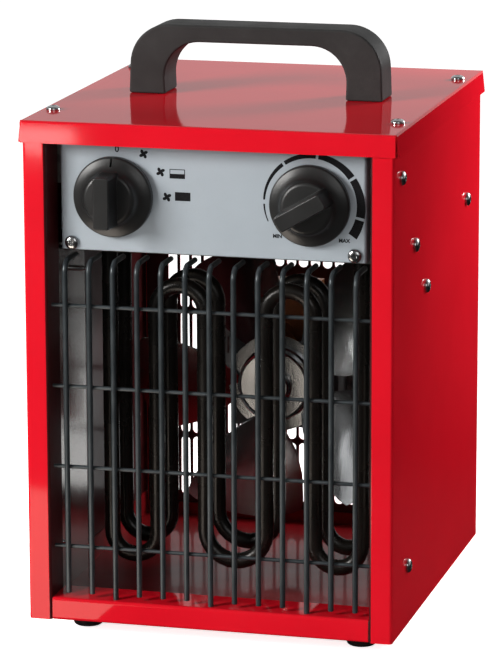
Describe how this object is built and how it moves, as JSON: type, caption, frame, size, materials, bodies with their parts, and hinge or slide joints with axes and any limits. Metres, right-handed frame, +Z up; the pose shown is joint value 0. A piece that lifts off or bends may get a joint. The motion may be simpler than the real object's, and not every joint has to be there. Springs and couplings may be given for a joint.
{
  "type": "forced air heater",
  "caption": "Portable electric forced air heater: folded steel case with a wire guard, tubular elements, an axial fan, rotary controls and a carrying handle.",
  "frame": {"origin": "centre of the bounding box of the whole heater, on the floor under its rubber feet", "axes": "+Z up, +X to the right seen from the front, the control panel and the guard face -Y"},
  "size_m": [0.2004, 0.2472, 0.3134],
  "materials": {
    "red_paint": "gloss paint",
    "grey_paint": "satin grey paint",
    "black_plastic": "fine matte texture",
    "pale_plastic": "smooth",
    "rubber": "matte",
    "chrome": "bright plated",
    "zinc": "galvanised",
    "fan_metal": "bright rolled",
    "coated_wire": "thin dark coating",
    "element_steel": "heat darkened",
    "copper": "enamelled winding"
  },
  "bodies": {
    "case": {"case_wrap": "red_paint", "base_pan": "red_paint", "lid": "red_paint", "control_panel": "grey_paint", "handle": "black_plastic", "cord_gland": "black_plastic", "gland_nut": "black_plastic", "thermal_cutout": "black_plastic", "selector_body": "pale_plastic", "thermostat_body": "pale_plastic", "terminal_block": "pale_plastic", "foot_1": "rubber", "foot_2": "rubber", "foot_3": "rubber", "foot_4": "rubber", "motor_bolt_left": "chrome", "motor_bolt_right": "chrome", "panel_screw_left": "chrome", "panel_screw_right": "chrome", "handle_screw_left": "chrome", "handle_screw_right": "chrome", "lid_screw_1": "chrome", "lid_screw_2": "chrome", "lid_screw_3": "chrome", "lid_screw_4": "chrome", "foot_screw_1": "chrome", "foot_screw_2": "chrome", "foot_screw_3": "chrome", "foot_screw_4": "chrome", "side_screw_left_1": "chrome", "side_screw_left_2": "chrome", "side_screw_left_3": "chrome", "side_screw_left_4": "chrome", "side_screw_left_5": "chrome", "side_screw_right_1": "chrome", "side_screw_right_2": "chrome", "side_screw_right_3": "chrome", "side_screw_right_4": "chrome", "side_screw_right_5": "chrome", "divider_shelf": "zinc", "heat_shield_left": "zinc", "heat_shield_right": "zinc", "panel_bracket_left": "zinc", "panel_bracket_right": "zinc", "bearing_bridge_front": "zinc", "bearing_bridge_rear": "zinc", "motor_mount": "zinc", "motor_stator": "zinc", "guard": "coated_wire", "heating_element_front": "element_steel", "heating_element_rear": "element_steel", "motor_coil": "copper"},
    "selector": {"selector_knob": "black_plastic", "selector_shaft": "chrome"},
    "thermostat": {"thermostat_knob": "black_plastic", "thermostat_shaft": "chrome"},
    "fan_rotor": {"fan": "fan_metal", "fan_nut": "chrome", "motor_shaft": "chrome", "motor_rotor": "zinc"}
  },
  "joints": [
    {"name": "selector_turn", "type": "hinge", "parent": "case", "child": "selector", "pos_m": [-0.052, -0.0984, 0.2362], "axis": [0, 1, 0], "range_deg": [0, 90]},
    {"name": "thermostat_turn", "type": "hinge", "parent": "case", "child": "thermostat", "pos_m": [0.052, -0.0984, 0.2362], "axis": [0, 1, 0], "range_deg": [0, 244]},
    {"name": "fan_spin", "type": "hinge", "parent": "case", "child": "fan_rotor", "pos_m": [0, 0.0269, 0.11], "axis": [0, 1, 0], "continuous": true}
  ]
}
